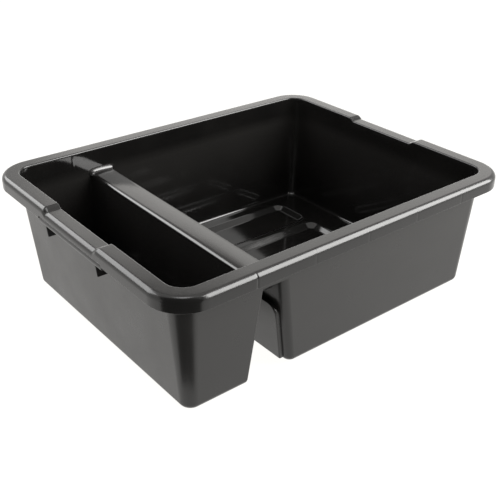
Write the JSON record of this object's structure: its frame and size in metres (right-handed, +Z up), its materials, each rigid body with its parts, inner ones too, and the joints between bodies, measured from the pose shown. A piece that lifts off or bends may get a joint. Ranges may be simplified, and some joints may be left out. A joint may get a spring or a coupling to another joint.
{
  "type": "cleaning caddy",
  "caption": "Divided open cleaning caddy with a wide turned-down rim, end hand-holds and a low carrying bar over the slot between its deep bins.",
  "frame": {"origin": "centre of the footprint of the rim, at the height of the bottoms the caddy stands on", "axes": "+X along the length towards the wide compartment, +Z up out of the open top, +Y towards the back long side"},
  "size_m": [0.546, 0.4314, 0.178],
  "materials": {
    "black_satin": "black injection-moulded polypropylene, lightly speckled satin outside",
    "black_gloss": "black injection-moulded polypropylene, polished where the core formed it"
  },
  "bodies": {
    "root": {"carrying_bar": "black_gloss", "grip_bead_left": "black_satin", "grip_bead_right": "black_satin", "grip_gusset_left_back": "black_satin", "grip_gusset_left_front": "black_satin", "grip_gusset_right_back": "black_satin", "grip_gusset_right_front": "black_satin", "large_floor": "black_gloss", "large_panel_1": "black_gloss", "large_panel_2": "black_gloss", "large_panel_3": "black_gloss", "large_panel_4": "black_gloss", "large_wall_back": "black_satin", "large_wall_front": "black_satin", "large_wall_left": "black_satin", "large_wall_right": "black_satin", "rim_back": "black_satin", "rim_corner_back_left": "black_satin", "rim_corner_back_right": "black_satin", "rim_corner_front_left": "black_satin", "rim_corner_front_right": "black_satin", "rim_front": "black_satin", "rim_left_hand_hold": "black_satin", "rim_rib_back_1": "black_satin", "rim_rib_back_2": "black_satin", "rim_rib_back_3": "black_satin", "rim_rib_back_4": "black_satin", "rim_rib_back_5": "black_satin", "rim_rib_front_1": "black_satin", "rim_rib_front_2": "black_satin", "rim_rib_front_3": "black_satin", "rim_rib_front_4": "black_satin", "rim_rib_front_5": "black_satin", "rim_right_hand_hold": "black_satin", "slot_pad": "black_satin", "slot_web_back": "black_satin", "slot_web_front": "black_satin", "small_floor": "black_gloss", "small_panel_1": "black_gloss", "small_wall_back": "black_satin", "small_wall_front": "black_satin", "small_wall_left": "black_satin", "small_wall_right": "black_satin", "upper_wall_back": "black_satin", "upper_wall_front": "black_satin", "upper_wall_left": "black_satin", "upper_wall_right": "black_satin"}
  },
  "joints": []
}
